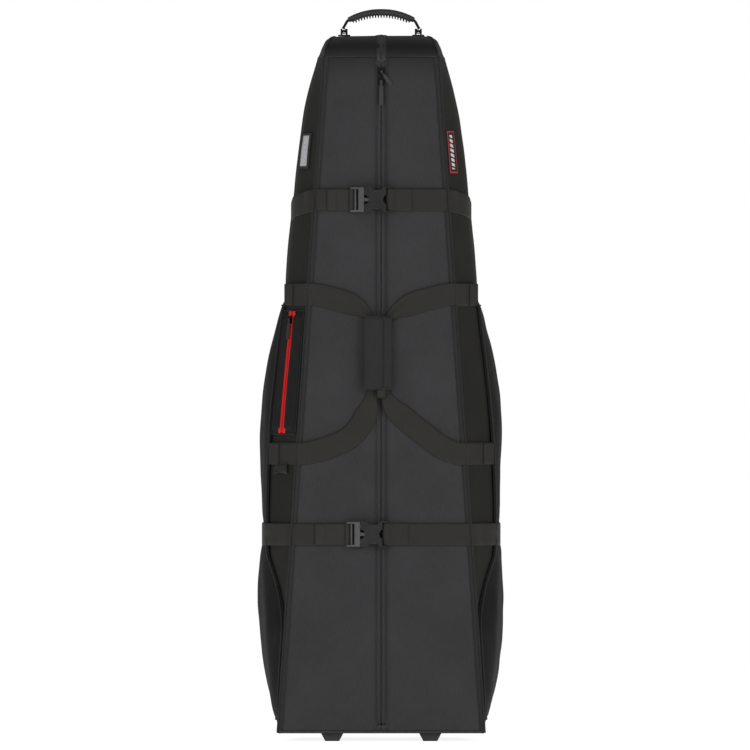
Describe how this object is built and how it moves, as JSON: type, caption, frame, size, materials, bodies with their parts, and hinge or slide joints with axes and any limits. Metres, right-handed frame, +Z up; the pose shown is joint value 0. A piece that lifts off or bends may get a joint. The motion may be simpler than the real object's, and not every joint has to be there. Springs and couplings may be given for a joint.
{
  "type": "golf travel case",
  "caption": "Padded wheeled golf travel case: tapered fabric shell, centre zip between hinged flaps, buckled straps, haul loops and top handle.",
  "frame": {"origin": "on the floor under the middle of the case", "axes": "+Z up the case, -Y out of the zipped front, +X to the right of someone facing the front"},
  "size_m": [0.442, 0.332, 1.318],
  "materials": {
    "panel_cloth": "charcoal woven polyester, padded",
    "side_cloth": "olive-black coated ballistic weave",
    "foam": "laminated foam padding",
    "webbing": "ribbed nylon webbing",
    "piping": "bias-bound piping cord",
    "zip_tape": "black zip tape with nylon chain",
    "red_tape": "red zip tape",
    "moulding": "fine-textured moulding",
    "buckle": "semi-gloss acetal",
    "latch": "grey acetal",
    "metal": "plated die casting",
    "steel": "zinc-plated steel",
    "pull_rubber": "moulded rubber",
    "grip_rubber": "soft moulded grip",
    "tyre": "polyurethane tread",
    "hub": "grey nylon hub",
    "card": "printed card",
    "clear": "clear vinyl",
    "badge": "woven patch, red border"
  },
  "bodies": {
    "case": {"back_panel": "side_cloth", "crown": "panel_cloth", "crown_pad": "foam", "front_frame": "panel_cloth", "seam_piping": "piping", "base_tray": "moulding", "base_board": "moulding", "front_feet": "moulding", "valuables_pocket": "side_cloth", "pocket_zip_tape": "red_tape", "window_frame": "moulding", "window_card": "card", "window_cover": "clear", "badge": "badge", "top_zip": "zip_tape", "handle_anchors": "moulding", "girth_straps": "webbing", "haul_anchors": "webbing", "gusset_right": "side_cloth", "gusset_left": "side_cloth", "shoe_pocket_right": "side_cloth", "shoe_pocket_left": "side_cloth", "side_pocket_right": "side_cloth", "side_pocket_left": "side_cloth", "wheel_housing_right": "moulding", "wheel_housing_left": "moulding", "axle_right": "steel", "axle_left": "steel"},
    "right_flap": {"flap_right": "panel_cloth", "zip_right": "zip_tape", "upper_strap_right": "webbing", "lower_strap_right": "webbing", "upper_buckle_female": "buckle", "lower_buckle_female": "buckle"},
    "left_flap": {"flap_left": "panel_cloth", "zip_left": "zip_tape", "upper_strap_left": "webbing", "lower_strap_left": "webbing"},
    "upper_slider": {"upper_slider": "metal"},
    "lower_slider": {"lower_slider": "metal"},
    "upper_pull": {"upper_pull": "pull_rubber"},
    "lower_pull": {"lower_pull": "pull_rubber"},
    "upper_buckle": {"upper_buckle_male": "latch", "upper_strap_tail": "webbing"},
    "lower_buckle": {"lower_buckle_male": "latch", "lower_strap_tail": "webbing"},
    "right_haul": {"haul_loop_right": "webbing", "wrap_core": "side_cloth"},
    "left_haul": {"haul_loop_left": "webbing"},
    "wrap_flap": {"wrap_flap": "side_cloth"},
    "top_handle": {"handle_grip": "grip_rubber", "handle_legs": "moulding"},
    "right_wheel": {"tyre_right": "tyre", "hub_right": "hub", "bearings_right": "steel"},
    "left_wheel": {"tyre_left": "tyre", "hub_left": "hub", "bearings_left": "steel"},
    "pocket_slider": {"pocket_slider": "metal"},
    "pocket_pull": {"pocket_pull": "pull_rubber"}
  },
  "joints": [
    {"name": "right_flap_hinge", "type": "hinge", "parent": "case", "child": "right_flap", "pos_m": [0.184, -0.162, 0.014], "axis": [-0.0681, 0.0328, 0.9971], "range_deg": [0, 120]},
    {"name": "left_flap_hinge", "type": "hinge", "parent": "case", "child": "left_flap", "pos_m": [-0.184, -0.162, 0.014], "axis": [0.0681, 0.0328, 0.9971], "range_deg": [-120, 0]},
    {"name": "upper_slider_slide", "type": "slide", "parent": "right_flap", "child": "upper_slider", "axis": [0, 0.0329, 0.9995], "range_m": [0, 0.01]},
    {"name": "lower_slider_slide", "type": "slide", "parent": "right_flap", "child": "lower_slider", "axis": [0, -0.0329, -0.9995], "range_m": [0, 1.1]},
    {"name": "upper_pull_hinge", "type": "hinge", "parent": "upper_slider", "child": "upper_pull", "pos_m": [0, -0.12121, 1.2023], "axis": [-0.7986, -0.0198, -0.6015], "range_deg": [0, 120]},
    {"name": "lower_pull_hinge", "type": "hinge", "parent": "lower_slider", "child": "lower_pull", "pos_m": [0, -0.12177, 1.18531], "axis": [-1, 0, 0], "range_deg": [0, 110]},
    {"name": "upper_buckle_slide", "type": "slide", "parent": "right_flap", "child": "upper_buckle", "axis": [-1, 0, 0], "range_m": [0, 0.03]},
    {"name": "lower_buckle_slide", "type": "slide", "parent": "right_flap", "child": "lower_buckle", "axis": [-1, 0, 0], "range_m": [0, 0.03]},
    {"name": "right_haul_hinge", "type": "hinge", "parent": "right_flap", "child": "right_haul", "pos_m": [0.184, -0.162, 0.014], "axis": [-0.0681, 0.0328, 0.9971], "range_deg": [0, 70]},
    {"name": "left_haul_hinge", "type": "hinge", "parent": "left_flap", "child": "left_haul", "pos_m": [-0.184, -0.162, 0.014], "axis": [0.0681, 0.0328, 0.9971], "range_deg": [-70, 0]},
    {"name": "wrap_flap_hinge", "type": "hinge", "parent": "right_haul", "child": "wrap_flap", "pos_m": [-0.031, -0.15947, 0.69629], "axis": [0, -0.0329, -0.9995], "range_deg": [0, 150]},
    {"name": "top_handle_hinge", "type": "hinge", "parent": "case", "child": "top_handle", "pos_m": [0, 0.04, 1.278], "axis": [1, 0, 0], "range_deg": [-55, 55]},
    {"name": "right_wheel_spin", "type": "hinge", "parent": "case", "child": "right_wheel", "pos_m": [0.088, 0.132, 0.034], "axis": [1, 0, 0], "continuous": true},
    {"name": "left_wheel_spin", "type": "hinge", "parent": "case", "child": "left_wheel", "pos_m": [-0.088, 0.132, 0.034], "axis": [1, 0, 0], "continuous": true},
    {"name": "pocket_slider_slide", "type": "slide", "parent": "case", "child": "pocket_slider", "axis": [-0.0877, -0.0328, -0.9956], "range_m": [0, 0.19]},
    {"name": "pocket_pull_hinge", "type": "hinge", "parent": "pocket_slider", "child": "pocket_pull", "pos_m": [-0.16533, -0.11297, 0.75699], "axis": [-0.5928, 0.8049, 0.0258], "range_deg": [0, 110]}
  ],
  "couplings": [
    {"joint": "left_flap_hinge", "follows": "right_flap_hinge", "ratio": -1},
    {"joint": "left_haul_hinge", "follows": "right_haul_hinge", "ratio": -1}
  ]
}
